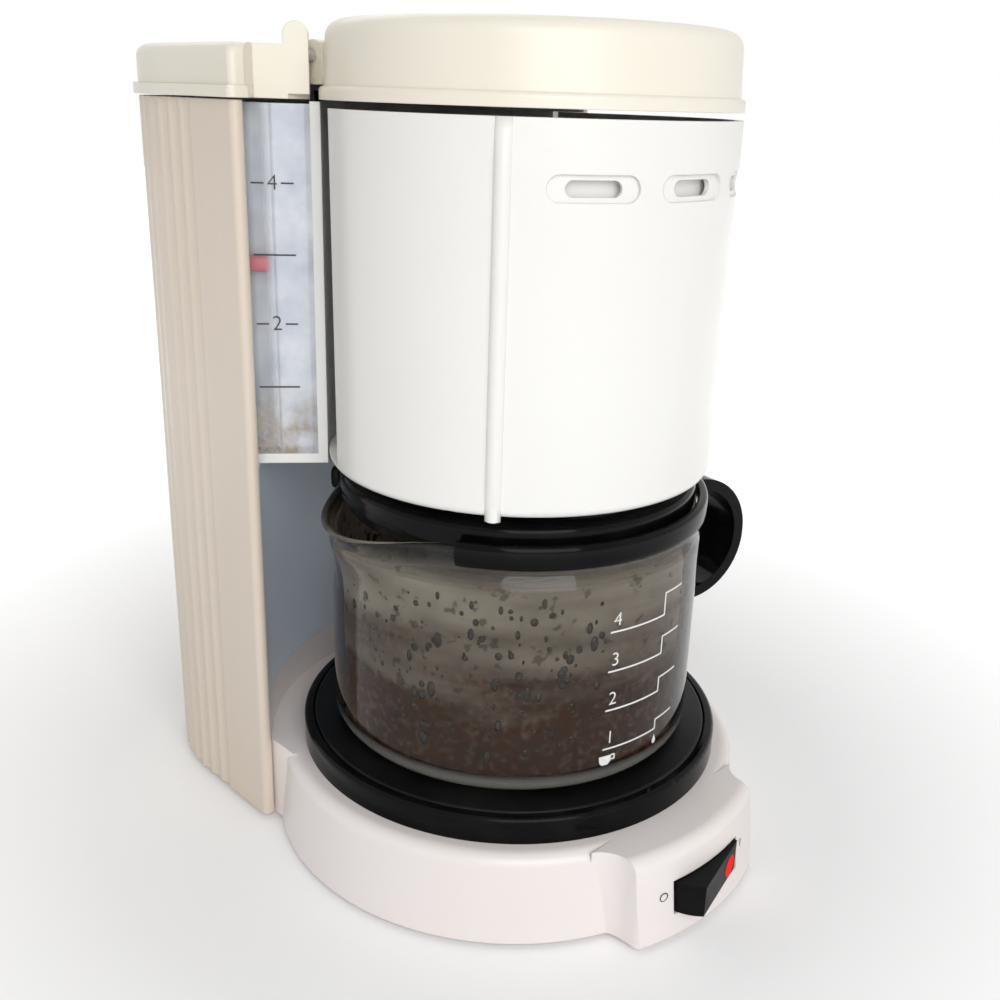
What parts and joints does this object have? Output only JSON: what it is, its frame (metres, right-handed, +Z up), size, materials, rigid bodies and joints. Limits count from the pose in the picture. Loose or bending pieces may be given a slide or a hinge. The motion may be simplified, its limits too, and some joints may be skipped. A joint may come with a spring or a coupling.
{
  "type": "drip coffee maker",
  "caption": "Small drip coffee maker: round warming base, fluted water tower with gauge, swing-out filter drum, hinged tank lid and glass carafe with a bow handle.",
  "frame": {"origin": "middle of the machine's box in plan, on the table under its feet", "axes": "+Z up, -Y towards the user at the switch, +X to the user's right, where the carafe's handle is"},
  "size_m": [0.1646, 0.2286, 0.2485],
  "materials": {
    "ivory_plastic": "gloss",
    "cream_plastic": "gloss",
    "white_plastic": "satin",
    "black_plastic": "gloss",
    "black_matte": "matt",
    "plate_coating": "satin",
    "clear_plastic": "frosted",
    "glass": "gloss",
    "red_plastic": "satin",
    "red_lens": "gloss",
    "steel": "satin",
    "aluminium": "satin",
    "silicone": "matt",
    "rubber": "matt",
    "ceramic_sleeve": "matt"
  },
  "bodies": {
    "housing": {"base_shell": "ivory_plastic", "bottom_plate": "ivory_plastic", "feet": "rubber", "base_screws": "steel", "plate_ring": "black_plastic", "hot_plate": "plate_coating", "heater_tube": "aluminium", "heater_strap": "steel", "thermostat": "steel", "thermal_fuses": "ceramic_sleeve", "inlet_hose": "silicone", "check_valve": "white_plastic", "riser_tube": "silicone", "riser_grommet": "rubber", "tower_shell": "cream_plastic", "cord_gland": "cream_plastic", "bay_panel": "ivory_plastic", "water_tank": "white_plastic", "gauge_window": "clear_plastic", "lid_hinge_pins": "steel", "head_cover": "cream_plastic", "head_plate": "black_matte", "water_elbow": "white_plastic", "shower_rose": "white_plastic", "drum_hinge_bracket": "ivory_plastic", "drum_hinge_pin": "steel", "switch_case": "black_matte"},
    "drum": {"drum_shell": "ivory_plastic", "drum_catch": "white_plastic", "filter_holder": "white_plastic", "filter_basket": "white_plastic"},
    "drip_valve": {"drip_plunger": "white_plastic", "valve_seal": "silicone", "valve_spring": "steel"},
    "lid": {"tank_lid": "cream_plastic"},
    "carafe": {"carafe_glass": "glass", "carafe_band": "black_plastic", "carafe_handle": "black_plastic", "carafe_lid": "black_plastic"},
    "rocker": {"switch_rocker": "black_matte", "rocker_lens": "red_lens"},
    "float": {"gauge_float": "red_plastic"}
  },
  "joints": [
    {"name": "drum_swing", "type": "hinge", "parent": "housing", "child": "drum", "pos_m": [0.05521, 0.01338, 0.1745], "axis": [0, 0, 1], "range_deg": [0, 100]},
    {"name": "tank_lid_hinge", "type": "hinge", "parent": "housing", "child": "lid", "pos_m": [-0.00479, 0.01843, 0.2395], "axis": [1, 0, 0], "range_deg": [0, 85]},
    {"name": "carafe_pull", "type": "slide", "parent": "housing", "child": "carafe", "axis": [0, -1, 0], "range_m": [0, 0.16]},
    {"name": "switch_tilt", "type": "hinge", "parent": "housing", "child": "rocker", "pos_m": [-0.00479, -0.10317, 0.014], "axis": [0, 0, 1], "range_deg": [-30, 0]},
    {"name": "float_rise", "type": "slide", "parent": "housing", "child": "float", "axis": [0, 0, 1], "range_m": [-0.05, 0.038]},
    {"name": "drip_stop_press", "type": "slide", "parent": "drum", "child": "drip_valve", "axis": [0, 0, 1], "range_m": [0, 0.0025], "stiffness_N_per_m": 300, "deforming": ["valve_spring"]}
  ]
}
